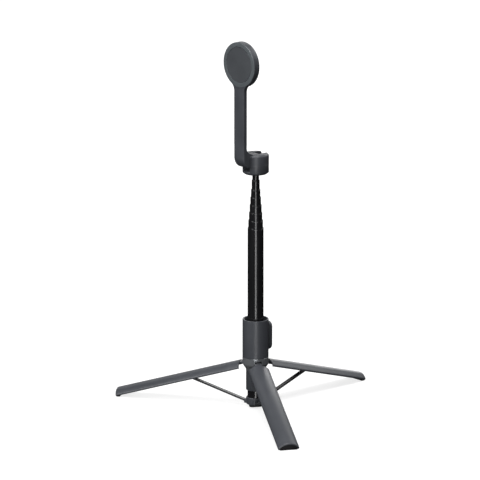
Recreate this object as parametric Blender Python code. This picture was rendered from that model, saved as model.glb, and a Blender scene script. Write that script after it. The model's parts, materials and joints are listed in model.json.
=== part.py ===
"""Telescoping phone stand with a tilting magnetic head, three folding legs and a shutter remote.

Metres, +Z up along the column. The origin is the middle of the column foot's flat underside.
The magnet disc stands on the -Y side of the column and its pad faces +Y.
"""
import math

import bmesh
import bpy
from mathutils import Matrix, Vector

mm = 0.001

# Fits
gap = 0.3 * mm               # between neighbouring solids
tool_overshoot = 1.0 * mm    # how far a cutting tool runs past the faces it cuts
tool_reach = 60.0 * mm       # half the size of a tool that takes away a whole side

# Telescoping column
stage_count = 8
inner_tube_radius = 4.2 * mm
tube_wall = 0.525 * mm
main_tube_top = 230.9 * mm
stage_rise = 9.75 * mm       # each tube stands this much above the next larger one
last_stage_rise = 11.9 * mm  # the second thinnest tube stands up a little more
neck_length = 8.35 * mm      # bare part of the thinnest tube below the head
tube_stagger = 1.2 * mm      # step between the lower ends of nested tubes
tube_floor_gap = 3.0 * mm    # from the plug to the lowest nested tube

# Column foot
foot_pad_thickness = 3.0 * mm
foot_pad_radius = 9.6 * mm
foot_pad_corner = 4.0 * mm
plug_height = 5.0 * mm
spider_wall = 1.325 * mm
spider_height = 9.3 * mm
spider_edge = 0.5 * mm
ear_nose = 1.1 * mm          # from the strut pin out to the end of its ear
ear_height = 5.0 * mm
ear_rounding = 1.25 * mm
ear_wall = 1.7 * mm

# Handle
grip_radius = 16.35 * mm
grip_wall = 2.0 * mm
grip_rim = 0.6 * mm          # rounding of the open rim
grip_height = 48.8 * mm
bush_height = 9.0 * mm
bush_depth = 14.0 * mm       # from the rim of the grip down to the bush
hub_below_pivot = 10.0 * mm  # from the leg pivots down to the hub's lower end
hub_roof = 4.0 * mm          # from the roof of the leg slots up to the hub's top
hub_web = 0.525 * mm         # between the column bore and the leg slots
hub_skirt = 7.6 * mm         # straight upper part of the hub
sleeve_wall = 1.625 * mm
sleeve_height = 25.2 * mm
sleeve_edge = 0.4 * mm

# Legs
floor_drop = 1.5 * mm        # the floor lies this far below the column foot
leg_count = 3
leg_length = 177.7 * mm      # from the pivot to the tip
leg_open_angle = math.radians(72.75)
leg_tip_rise = 4.8 * mm      # the middle of an open leg's tip stands this high on its pad
leg_wall = 1.6 * mm
leg_half_width = 13.1 * mm
leg_edge_radius = 8.0 * mm   # from the column axis to the lower edges, when folded
leg_arc_half_angle = math.radians(47.0)
leg_arc_margin = math.radians(4.0)  # kept free between the end of the round top and the side
leg_shoulder = 1.6 * mm      # from the end of the round top down to the straight side
leg_root_standoff = 3.45 * mm  # from the hub's side out to the start of an open leg's shell
leg_eye_radius = 2.4 * mm
tongue_width = 8.8 * mm
tongue_start = 1.8 * mm      # from the pivot out to where the tongue reaches full height
tongue_headroom = 0.5 * mm   # between the turning tongue and the roof of its slot
tongue_overlap = 4.0 * mm    # how far the tongue runs on inside the shell
tongue_thickness = 1.2 * mm  # what the tongue's underside loses towards the shell
tongue_crown_drop = 0.1 * mm  # from the round top down to the tongue's top
leg_pin_radius = 1.1 * mm
leg_pin_length = 14.0 * mm
pad_length = 5.5 * mm
pad_side_gap = 0.6 * mm      # between the pad and the leg's side wall
pad_flat_inset = 3.0 * mm    # from the pad's side in to the edge of its tread
pad_arc_margin = math.radians(3.0)  # the pad's round top ends this much before the shell's
pad_side = 1.0 * mm          # straight side below the shell's edge
pad_drop = 3.2 * mm          # from the shell's edge down to the tread

# Struts
strut_reach = 82.0 * mm      # along the leg, from its pivot to the strut pin
strut_pin_offset = -0.9 * mm  # towards the column from the leg's pivot line
strut_foot_standoff = 2.625 * mm  # from the main tube out to the strut's foot pin
strut_foot_height = 6.5 * mm
strut_width = 5.2 * mm
strut_thickness = 2.4 * mm
strut_eye_radius = 1.6 * mm
strut_foot_eye_radius = 1.5 * mm
strut_pin_radius = 0.8 * mm
lug_wall = 1.7 * mm
lug_cover = 0.6 * mm         # material below the strut pin
lug_side = 0.8 * mm          # material beside the strut eye

# Head
head_radius = 16.4 * mm
head_height = 25.6 * mm
head_split = 12.7 * mm       # from the top down to the parting line
head_chamfer_width = 2.8 * mm
head_chamfer_height = 2.0 * mm
head_edge_radius = 3.2 * mm
head_slot_half_width = 5.8 * mm
head_slot_floor = 20.9 * mm  # from the top down
head_skin = 1.0 * mm         # between the slot floor and the swivel bore
tilt_drop = 7.7 * mm         # from the top down to the tilt axis
tilt_pin_radius = 2.0 * mm
tilt_pin_half_length = 12.0 * mm
washer_thickness = 0.6 * mm
washer_radius = 6.4 * mm
spindle_head_height = 1.9 * mm
spindle_stem = 12.0 * mm

# Arm and magnet disc
strap_width = 17.9 * mm
strap_thickness = 5.6 * mm
strap_gap = 6.5 * mm         # between the head's side and the upright strap
strap_bend_radius = 14.5 * mm
strap_bend_bottom = 8.3 * mm  # from the tilt axis down to the underside
strap_shoulder_gap = 1.9 * mm  # from the head's side out to where the strap takes its full width
strap_inner_corner = 17.5 * mm  # from the tilt axis up to the inner corner
strap_flare = 11.0 * mm      # fillet where the strap meets the disc
strap_start = 22.5 * mm      # from the tilt axis up to where the flat strap begins
knuckle_radius = 7.6 * mm
knuckle_start = math.radians(-98.0)
neck_start = 9.0 * mm        # from the tilt axis out to where the inner corner begins
neck_rise = 0.2 * mm
inner_corner_radius = 7.0 * mm
inner_corner_start = math.radians(243.0)
shoulder_chamfer = 1.2 * mm
disc_radius = 28.0 * mm
disc_thickness = 9.2 * mm
disc_rise = 114.7 * mm       # from the head's top up to the disc's centre
disc_edge = 1.1 * mm
rear_cover_inset = 6.0 * mm  # from the disc's edge in to the cover's edge
rear_cover_thickness = 0.9 * mm
rear_wall = 1.1 * mm
shield_thickness = 1.0 * mm
magnet_thickness = 3.0 * mm
magnet_inset = 3.4 * mm      # from the disc's edge in to the magnets
magnet_ring_width = 6.6 * mm
front_pad_thickness = 2.0 * mm
front_pad_inset = 1.8 * mm   # width of the rim around the front pad

# Remote
remote_above_grip = 6.1 * mm  # from the grip's bottom up to the remote's
remote_height = 37.4 * mm
remote_half_width = 9.3 * mm
remote_depth = 3.65 * mm     # from the middle of its back to its face
remote_wall = 1.0 * mm
remote_back_wall = 1.1 * mm
remote_end_radius = 3.6 * mm
remote_edge_radius = 2.2 * mm
remote_corner_radius = 6.5 * mm
remote_side_wall = 1.6 * mm
cradle_thickness = 0.7 * mm
cradle_half_angle = math.radians(26.0)
cradle_margin = 3.0 * mm     # the cradle is this much shorter than the remote at each end
board_thickness = 0.6 * mm
board_corner_radius = 5.0 * mm
cell_radius = 5.2 * mm
cell_thickness = 1.0 * mm
button_radius = 4.6 * mm
button_height_on_remote = 26.0 * mm
button_proud = 0.7 * mm
button_travel_room = 0.5 * mm
button_edge = 0.4 * mm

# Worked out from the sizes above
tube_step = tube_wall + gap
main_tube_radius = inner_tube_radius + (stage_count - 1) * tube_step
guide_bore = main_tube_radius + gap
main_tube_bottom = foot_pad_thickness + gap
second_tube_top = main_tube_top + (stage_count - 3) * stage_rise + last_stage_rise
head_bottom = second_tube_top + neck_length
head_top = head_bottom + head_height
tilt_height = head_top - tilt_drop
slot_floor_height = head_top - head_slot_floor

leg_pivot_radius = guide_bore + hub_web + gap + leg_eye_radius
leg_pivot_height = leg_length * math.cos(leg_open_angle) + leg_tip_rise
leg_root = grip_radius - leg_pivot_radius + leg_root_standoff
tongue_crown = math.sqrt(grip_radius ** 2 - (tongue_width / 2) ** 2) - leg_pivot_radius - tongue_crown_drop
slot_roof = leg_pivot_height + math.hypot(tongue_crown, tongue_start) + tongue_headroom
hub_top = slot_roof + hub_roof
hub_bottom = leg_pivot_height - hub_below_pivot
sleeve_top = hub_bottom - gap
sleeve_radius = guide_bore + sleeve_wall
grip_bottom = hub_top + gap
grip_top = grip_bottom + grip_height
remote_bottom = grip_bottom + remote_above_grip
remote_front = grip_radius + cradle_thickness + 2 * gap + remote_depth

spider_radius = guide_bore + spider_wall
strut_foot_radius = main_tube_radius + strut_foot_standoff
ear_reach = strut_foot_radius + ear_nose

strap_shoulder = head_radius + strap_shoulder_gap
strap_back = head_radius + strap_gap + strap_thickness
disc_height = head_top + disc_rise
rear_cover_radius = disc_radius - rear_cover_inset
front_pad_radius = disc_radius - front_pad_inset
magnet_outer_radius = disc_radius - magnet_inset
magnet_inner_radius = magnet_outer_radius - magnet_ring_width

leg_out = Vector((math.sin(leg_open_angle), 0, -math.cos(leg_open_angle)))
leg_up = Vector((math.cos(leg_open_angle), 0, math.sin(leg_open_angle)))
leg_pivot = Vector((leg_pivot_radius, 0, leg_pivot_height))
strut_top = leg_pivot + leg_out * strut_reach + leg_up * strut_pin_offset
strut_line = strut_top - Vector((strut_foot_radius, 0, strut_foot_height))
strut_length = strut_line.length
strut_angle = math.atan2(strut_line.x, strut_line.z)


# Helpers

def clear_scene():
    for obj in list(bpy.data.objects):
        bpy.data.objects.remove(obj, do_unlink=True)


materials = {}


def finish(name, color, roughness, metallic=0.0):
    material = bpy.data.materials.new(name)
    material.use_nodes = True
    shader = material.node_tree.nodes["Principled BSDF"]
    shader.inputs["Base Color"].default_value = (*color, 1.0)
    shader.inputs["Roughness"].default_value = roughness
    shader.inputs["Metallic"].default_value = metallic
    material.diffuse_color = (*color, 1.0)
    materials[name] = material


def make_finishes():
    finish("slate_plastic", (0.060, 0.062, 0.068), 0.45)
    finish("hub_plastic", (0.085, 0.090, 0.092), 0.35)
    finish("black_tube", (0.012, 0.012, 0.013), 0.22, 0.6)
    finish("black_rubber", (0.010, 0.010, 0.011), 0.80)
    finish("bright_steel", (0.55, 0.55, 0.56), 0.25, 1.0)
    finish("magnet_metal", (0.35, 0.35, 0.36), 0.35, 1.0)
    finish("board_green", (0.02, 0.10, 0.05), 0.50)
    finish("soft_grey", (0.08, 0.08, 0.085), 0.60)


def arc(center, radius, start, end, steps):
    """Points on an arc, from the start angle to the end angle, both in radians."""
    points = []
    for i in range(steps + 1):
        angle = start + (end - start) * i / steps
        points.append((center[0] + radius * math.cos(angle), center[1] + radius * math.sin(angle)))
    return points


def add_object(name, mesh, material, place=None, parent=None, smooth=35):
    mesh.materials.append(materials[material])
    mesh.shade_smooth()
    mesh.set_sharp_from_angle(angle=math.radians(smooth))
    obj = bpy.data.objects.new(name, mesh)
    bpy.context.scene.collection.objects.link(obj)
    if parent:
        obj.parent = parent
    if place is not None:
        obj.matrix_local = place
    return obj


def mesh_from(bm, name):
    bmesh.ops.remove_doubles(bm, verts=bm.verts, dist=1e-7)
    bmesh.ops.recalc_face_normals(bm, faces=bm.faces)
    mesh = bpy.data.meshes.new(name)
    bm.to_mesh(mesh)
    bm.free()
    return mesh


def turned_mesh(name, outline, sides):
    """A solid turned about Z from (radius, height) points, with flat ends where they reach the axis."""
    bm = bmesh.new()
    verts = [bm.verts.new((r, 0, z)) for r, z in outline if r > 0]
    edges = [bm.edges.new(pair) for pair in zip(verts, verts[1:])]
    hollow = len(verts) == len(outline)
    if hollow:
        edges.append(bm.edges.new((verts[-1], verts[0])))
    bmesh.ops.spin(bm, geom=verts + edges, axis=(0, 0, 1), cent=(0, 0, 0),
                   angle=math.tau, steps=sides, use_duplicate=False)
    bmesh.ops.remove_doubles(bm, verts=bm.verts, dist=1e-7)
    if not hollow:
        rims = [edge for edge in bm.edges if edge.is_boundary]
        bmesh.ops.edgeloop_fill(bm, edges=rims)
    return mesh_from(bm, name)


def prism_mesh(name, outline, start, end, plane="xy"):
    """An outline in the named plane, given thickness from start to end along the third axis."""
    bm = bmesh.new()

    def point(a, b, c):
        if plane == "xy":
            return (a, b, c)
        if plane == "yz":
            return (c, a, b)
        return (a, c, b)

    low = [bm.verts.new(point(a, b, start)) for a, b in outline]
    face = bm.faces.new(low)
    copy = bmesh.ops.extrude_face_region(bm, geom=[face])
    moved = [item for item in copy["geom"] if isinstance(item, bmesh.types.BMVert)]
    bmesh.ops.translate(bm, verts=moved, vec=Vector(point(0, 0, end - start)))
    return mesh_from(bm, name)


def turned(name, outline, sides, material, place=None, parent=None, smooth=35):
    return add_object(name, turned_mesh(name, outline, sides), material, place, parent, smooth)


def prism(name, outline, start, end, material, plane="xy", place=None, parent=None):
    return add_object(name, prism_mesh(name, outline, start, end, plane), material, place, parent)


def rod_outline(radius, start, end):
    return [(0, start), (radius, start), (radius, end), (0, end)]


def ring_outline(inner, outer, bottom, top):
    return [(inner, bottom), (outer, bottom), (outer, top), (inner, top)]


def box_outline(x0, x1, y0, y1):
    return [(x0, y0), (x1, y0), (x1, y1), (x0, y1)]


def rounded_outline(x0, x1, y0, y1, radius):
    """A box outline with round corners."""
    corners = ((x1 - radius, y0 + radius, -90), (x1 - radius, y1 - radius, 0),
               (x0 + radius, y1 - radius, 90), (x0 + radius, y0 + radius, 180))
    points = []
    for x, y, start in corners:
        points += arc((x, y), radius, math.radians(start), math.radians(start + 90), 7)
    return points


def use_tool(target, tool, operation):
    """Joins a tool solid to the target, or cuts it out of the target."""
    tool.hide_render = True
    tool.display_type = "WIRE"
    boolean = target.modifiers.new(operation.lower() + "_" + tool.name, "BOOLEAN")
    boolean.operation = operation
    boolean.object = tool


def turn(axis, degrees):
    return Matrix.Rotation(math.radians(degrees), 4, axis)


def leg_azimuth(index):
    return math.radians(90 + 360 / leg_count * index)


def empty(name, place, parent=None):
    obj = bpy.data.objects.new(name, None)
    obj.empty_display_size = 0.01
    bpy.context.scene.collection.objects.link(obj)
    obj.parent = parent
    obj.matrix_local = place
    return obj


# Column

def tube_radius(stage):
    """Stage 1 is the thinnest tube and stage_count the main tube."""
    return inner_tube_radius + (stage - 1) * tube_step


def tube_top(stage):
    if stage == 1:
        return slot_floor_height - head_skin - spindle_head_height - 2 * gap
    if stage == 2:
        return second_tube_top
    return main_tube_top + (stage_count - stage) * stage_rise


def make_column():
    plug_top = main_tube_bottom + plug_height
    for stage in range(1, stage_count + 1):
        radius = tube_radius(stage)
        if stage == stage_count:
            name = "main_tube"
            bottom = main_tube_bottom
        else:
            name = f"tube_{stage}"
            bottom = plug_top + tube_floor_gap + (stage_count - 1 - stage) * tube_stagger
        outline = ring_outline(radius - tube_wall, radius, bottom, tube_top(stage))
        turned(name, outline, 48, "black_tube")
    plug = rod_outline(main_tube_radius - tube_wall - gap, main_tube_bottom, plug_top)
    turned("tube_plug", plug, 48, "black_rubber")
    stem_radius = inner_tube_radius - tube_wall - gap
    stem_top = tube_top(1) + gap
    spindle = [(0, stem_top - spindle_stem), (stem_radius, stem_top - spindle_stem), (stem_radius, stem_top),
               (inner_tube_radius, stem_top), (inner_tube_radius, stem_top + spindle_head_height),
               (0, stem_top + spindle_head_height)]
    turned("pan_spindle", spindle, 40, "bright_steel")


def make_foot_pad():
    """A rounded triangle whose corners point between the struts."""
    outline = []
    reach = foot_pad_radius - foot_pad_corner
    for index in range(leg_count):
        middle = leg_azimuth(index) + math.pi / leg_count
        center = (reach * math.cos(middle), reach * math.sin(middle))
        half = math.pi / leg_count
        outline += arc(center, foot_pad_corner, middle - half, middle + half, 8)
    prism("foot_pad", outline, 0, foot_pad_thickness, "black_rubber")


def make_spider():
    """Collar on the column's lower end, with an ear and a slot for each strut."""
    bore = guide_bore
    bottom = main_tube_bottom
    top = bottom + spider_height
    edge = spider_edge
    outline = [(bore, bottom), (spider_radius - edge, bottom), (spider_radius, bottom + edge),
               (spider_radius, top - edge), (spider_radius - edge, top), (bore, top)]
    spider = turned("spider", outline, 72, "hub_plastic")
    slot_half = strut_width / 2 + gap
    ear_half = slot_half + ear_wall
    ear_low = strut_foot_height - ear_height / 2
    ear_high = strut_foot_height + ear_height / 2
    round_middle = ear_reach - ear_rounding
    ear = [(bore + gap, ear_low)]
    ear += arc((round_middle, ear_low + ear_rounding), ear_rounding, -math.pi / 2, 0, 5)
    ear += arc((round_middle, ear_high - ear_rounding), ear_rounding, 0, math.pi / 2, 5)
    ear.append((bore + gap, ear_high))
    slot_start = strut_foot_radius - strut_foot_eye_radius - gap
    slot = box_outline(slot_start, ear_reach + tool_overshoot, bottom - tool_overshoot, top + tool_overshoot)
    for index in range(leg_count):
        place = Matrix.Rotation(leg_azimuth(index), 4, "Z")
        tool = prism(f"ear_tool_{index}", ear, -ear_half, ear_half, "hub_plastic", "xz", place)
        use_tool(spider, tool, "UNION")
    for index in range(leg_count):
        place = Matrix.Rotation(leg_azimuth(index), 4, "Z")
        tool = prism(f"strut_slot_tool_{index}", slot, -slot_half, slot_half, "hub_plastic", "xz", place)
        use_tool(spider, tool, "DIFFERENCE")


# Handle

def make_grip():
    inner = grip_radius - grip_wall
    edge = grip_rim
    outline = [(inner, grip_bottom), (grip_radius, grip_bottom), (grip_radius, grip_top - edge)]
    outline += arc((grip_radius - edge, grip_top - edge), edge, 0, math.pi / 2, 4)[1:]
    outline += [(inner + edge, grip_top), (inner, grip_top - edge)]
    turned("grip_shell", outline, 96, "slate_plastic")
    bush_top = grip_top - bush_depth
    bush = ring_outline(guide_bore, inner - gap, bush_top - bush_height, bush_top)
    turned("guide_bush", bush, 64, "black_rubber")


def make_hub():
    skirt_bottom = hub_top - hub_skirt
    fall = skirt_bottom - hub_bottom
    outline = [(guide_bore, hub_bottom), (sleeve_radius, hub_bottom)]
    steps = 9
    for i in range(1, steps + 1):
        share = i / steps
        swell = share * share * (3 - 2 * share)
        outline.append((sleeve_radius + (grip_radius - sleeve_radius) * swell, hub_bottom + fall * share))
    outline += [(grip_radius, hub_top), (guide_bore, hub_top)]
    hub = turned("hub", outline, 96, "hub_plastic")
    slot_half = tongue_width / 2 + gap
    slot_inner = leg_pivot_radius - leg_eye_radius - gap
    slot = box_outline(slot_inner, grip_radius + tool_overshoot, hub_bottom - tool_overshoot, slot_roof)
    for index in range(leg_count):
        place = Matrix.Rotation(leg_azimuth(index), 4, "Z")
        tool = prism(f"tongue_slot_tool_{index}", slot, -slot_half, slot_half, "hub_plastic", "xz", place)
        use_tool(hub, tool, "DIFFERENCE")
        across = place @ Matrix.Translation(leg_pivot) @ turn("X", 90)
        half = leg_pin_length / 2
        hole = rod_outline(leg_pin_radius + gap, -half - gap, half + gap)
        tool = turned(f"pin_hole_tool_{index}", hole, 20, "hub_plastic", across)
        use_tool(hub, tool, "DIFFERENCE")
        turned(f"leg_pin_{index + 1}", rod_outline(leg_pin_radius, -half, half), 24, "bright_steel", across)


def make_sleeve():
    bottom = sleeve_top - sleeve_height
    edge = sleeve_edge
    outline = [(guide_bore, bottom), (sleeve_radius - edge, bottom), (sleeve_radius, bottom + edge),
               (sleeve_radius, sleeve_top), (guide_bore, sleeve_top)]
    turned("sleeve", outline, 72, "slate_plastic")


# Legs, drawn hanging straight down from the pivot, x outwards

def arch_half_angle(half_width, arc_radius):
    return min(leg_arc_half_angle, math.asin(half_width / arc_radius) - leg_arc_margin)


def leg_section(half_width, arc_radius, lower):
    """One side of a leg's section in x and y, measured from the pivot line."""
    half_angle = arch_half_angle(half_width, arc_radius)
    top = [(x - leg_pivot_radius, y) for x, y in arc((0, 0), arc_radius, -half_angle, half_angle, 14)]
    shoulder = top[-1][0] - leg_shoulder
    points = [(lower, -half_width), (shoulder, -half_width)]
    points += top
    points += [(shoulder, half_width), (lower, half_width)]
    return points


def make_leg(index):
    place = Matrix.Rotation(leg_azimuth(index), 4, "Z") @ Matrix.Translation(leg_pivot)
    place = place @ Matrix.Rotation(-leg_open_angle, 4, "Y")
    number = index + 1
    axis = empty(f"leg_axis_{number}", place)
    lower = leg_edge_radius - leg_pivot_radius
    outer = leg_section(leg_half_width, grip_radius, lower)
    inner = leg_section(leg_half_width - leg_wall, grip_radius - leg_wall, lower)
    outline = outer + inner[::-1]
    shell = prism(f"leg_shell_{number}", outline, -leg_length, -leg_root, "slate_plastic",
                  parent=axis, place=Matrix())

    # Tongue with the pivot eye
    half = tongue_width / 2
    reach = leg_root + tongue_overlap
    tongue = [(tongue_crown, -reach), (tongue_crown, -tongue_start)]
    tongue += arc((0, 0), leg_eye_radius, 0.2 * math.pi, math.pi, 12)
    tongue += [(-leg_eye_radius, -leg_root / 2), (tongue_thickness - leg_eye_radius, -reach)]
    tool = prism(f"tongue_tool_{number}", tongue, -half, half, "slate_plastic", "xz", Matrix(), axis)
    use_tool(shell, tool, "UNION")

    # Lugs that hold the strut pin
    lug_inner = strut_width / 2 + gap
    lug_low = strut_pin_offset - strut_pin_radius - gap - lug_cover
    lug_half = strut_eye_radius + lug_side
    lug_top = grip_radius - leg_pivot_radius - leg_wall / 2
    for side in (-1, 1):
        near = min(side * lug_inner, side * (lug_inner + lug_wall))
        lug = box_outline(lug_low, lug_top, -strut_reach - lug_half, -strut_reach + lug_half)
        tool = prism(f"lug_tool_{number}_{side + 1}", lug, near, near + lug_wall, "slate_plastic", "xz",
                     Matrix(), axis)
        use_tool(shell, tool, "UNION")

    pivot_hole = rod_outline(leg_pin_radius + gap, -half - tool_overshoot, half + tool_overshoot)
    tool = turned(f"eye_tool_{number}", pivot_hole, 20, "slate_plastic", turn("X", 90), axis)
    use_tool(shell, tool, "DIFFERENCE")
    pin_place = Matrix.Translation((strut_pin_offset, 0, -strut_reach)) @ turn("X", 90)
    pin_half = lug_inner + lug_wall
    pin_hole = rod_outline(strut_pin_radius + gap, -pin_half - tool_overshoot, pin_half + tool_overshoot)
    tool = turned(f"lug_hole_tool_{number}", pin_hole, 20, "slate_plastic", pin_place, axis)
    use_tool(shell, tool, "DIFFERENCE")
    turned(f"strut_pin_{number}", rod_outline(strut_pin_radius, -pin_half, pin_half), 20, "bright_steel",
           pin_place, axis)

    # Rubber pad in the end of the shell, cut level with the floor
    pad_arc = grip_radius - leg_wall - gap
    pad_turn = arch_half_angle(leg_half_width - leg_wall, grip_radius - leg_wall) - pad_arc_margin
    pad_half_width = leg_half_width - leg_wall - pad_side_gap
    top = arc((0, 0), pad_arc, -pad_turn, pad_turn, 12)
    section = [(x - leg_pivot_radius, y) for x, y in top]
    flat_edge = lower - pad_drop
    tread = [(lower, pad_half_width), (lower - pad_side, pad_half_width)]
    tread += [(flat_edge, pad_half_width - pad_flat_inset)]
    section += tread
    section += [(x, -y) for x, y in tread[::-1]]
    pad = prism(f"leg_pad_{number}", section, -leg_length, -leg_length + pad_length, "black_rubber",
                parent=axis, place=Matrix())
    floor = box_outline(-tool_reach, tool_reach, -tool_reach, tool_reach)
    foot_reach = leg_pivot_radius + leg_length * math.sin(leg_open_angle)
    below = Matrix.Rotation(leg_azimuth(index), 4, "Z") @ Matrix.Translation((foot_reach, 0, 0))
    tool = prism(f"floor_tool_{number}", floor, -tool_reach, -floor_drop, "black_rubber", place=below)
    use_tool(pad, tool, "DIFFERENCE")
    return axis


def make_strut(index, leg_axis):
    number = index + 1
    local = Matrix.Translation((strut_pin_offset, 0, -strut_reach))
    local = local @ Matrix.Rotation(strut_angle + leg_open_angle, 4, "Y")
    axis = empty(f"strut_axis_{number}", local, leg_axis)
    half_bar = strut_thickness / 2
    top_turn = math.asin(half_bar / strut_eye_radius)
    foot_turn = math.asin(half_bar / strut_foot_eye_radius)
    outline = arc((0, 0), strut_eye_radius, -math.pi / 2 + top_turn, 1.5 * math.pi - top_turn, 18)
    outline += arc((0, -strut_length), strut_foot_eye_radius, math.pi / 2 + foot_turn,
                   2.5 * math.pi - foot_turn, 18)
    half = strut_width / 2
    strut = prism(f"strut_{number}", outline, -half, half, "slate_plastic", "xz", parent=axis, place=Matrix())
    for height, label in ((0, "top"), (-strut_length, "foot")):
        place = Matrix.Translation((0, 0, height)) @ turn("X", 90)
        hole = rod_outline(strut_pin_radius + gap, -half - tool_overshoot, half + tool_overshoot)
        tool = turned(f"strut_{label}_tool_{number}", hole, 20, "slate_plastic", place, axis)
        use_tool(strut, tool, "DIFFERENCE")
    place = Matrix.Translation((0, 0, -strut_length)) @ turn("X", 90)
    turned(f"strut_foot_pin_{number}", rod_outline(strut_pin_radius, -half, half), 20, "bright_steel",
           place, axis)


# Head

def make_head():
    split = head_top - head_split
    bore = inner_tube_radius + 2 * gap
    bore_top = slot_floor_height - head_skin
    cup = [(0, bore_top), (bore, bore_top), (bore, head_bottom),
           (head_radius - head_chamfer_width, head_bottom),
           (head_radius, head_bottom + head_chamfer_height),
           (head_radius, split - gap / 2), (0, split - gap / 2)]
    cup_object = turned("head_cup", cup, 96, "slate_plastic")
    slot_end = head_radius + tool_overshoot
    slot = box_outline(-head_slot_half_width, head_slot_half_width, -slot_end, slot_end)
    tool = prism("head_slot_tool", slot, slot_floor_height, head_top + tool_overshoot, "hub_plastic")
    use_tool(cup_object, tool, "DIFFERENCE")

    place = Matrix.Translation((0, 0, tilt_height)) @ turn("Y", 90)
    hole = rod_outline(tilt_pin_radius + gap, -tilt_pin_half_length - gap, tilt_pin_half_length + gap)
    hole_tool = turned("tilt_hole_tool", hole, 32, "hub_plastic", place)
    for side, label in ((-1, "left"), (1, "right")):
        half_turn = math.acos(head_slot_half_width / head_radius)
        flat = arc((0, 0), head_radius, -half_turn, half_turn, 40)
        if side < 0:
            flat = [(-x, y) for x, y in flat]
        ear = prism(f"head_ear_{label}", flat, split + gap / 2, head_top, "slate_plastic")
        bevel = ear.modifiers.new("rounded_rim", "BEVEL")
        bevel.width = head_edge_radius
        bevel.segments = 4
        bevel.limit_method = "WEIGHT"
        weights = ear.data.attributes.new("bevel_weight_edge", "FLOAT", "EDGE")
        for edge_item in ear.data.edges:
            ends = [ear.data.vertices[i].co for i in edge_item.vertices]
            on_top = all(abs(point.z - head_top) < 1e-6 for point in ends)
            round_side = any(abs(point.x) > head_slot_half_width + 1e-6 for point in ends)
            if on_top and round_side:
                weights.data[edge_item.index].value = 1.0
        use_tool(ear, hole_tool, "DIFFERENCE")
        inner = side * (head_slot_half_width - gap)
        start = min(inner, inner - side * washer_thickness)
        washer = ring_outline(tilt_pin_radius + gap, washer_radius, start, start + washer_thickness)
        turned(f"friction_washer_{label}", washer, 48, "bright_steel", place)
    pin = rod_outline(tilt_pin_radius, -tilt_pin_half_length, tilt_pin_half_length)
    turned("tilt_pin", pin, 32, "bright_steel", place)


# Arm and magnet disc, modelled about the tilt axis

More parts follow.
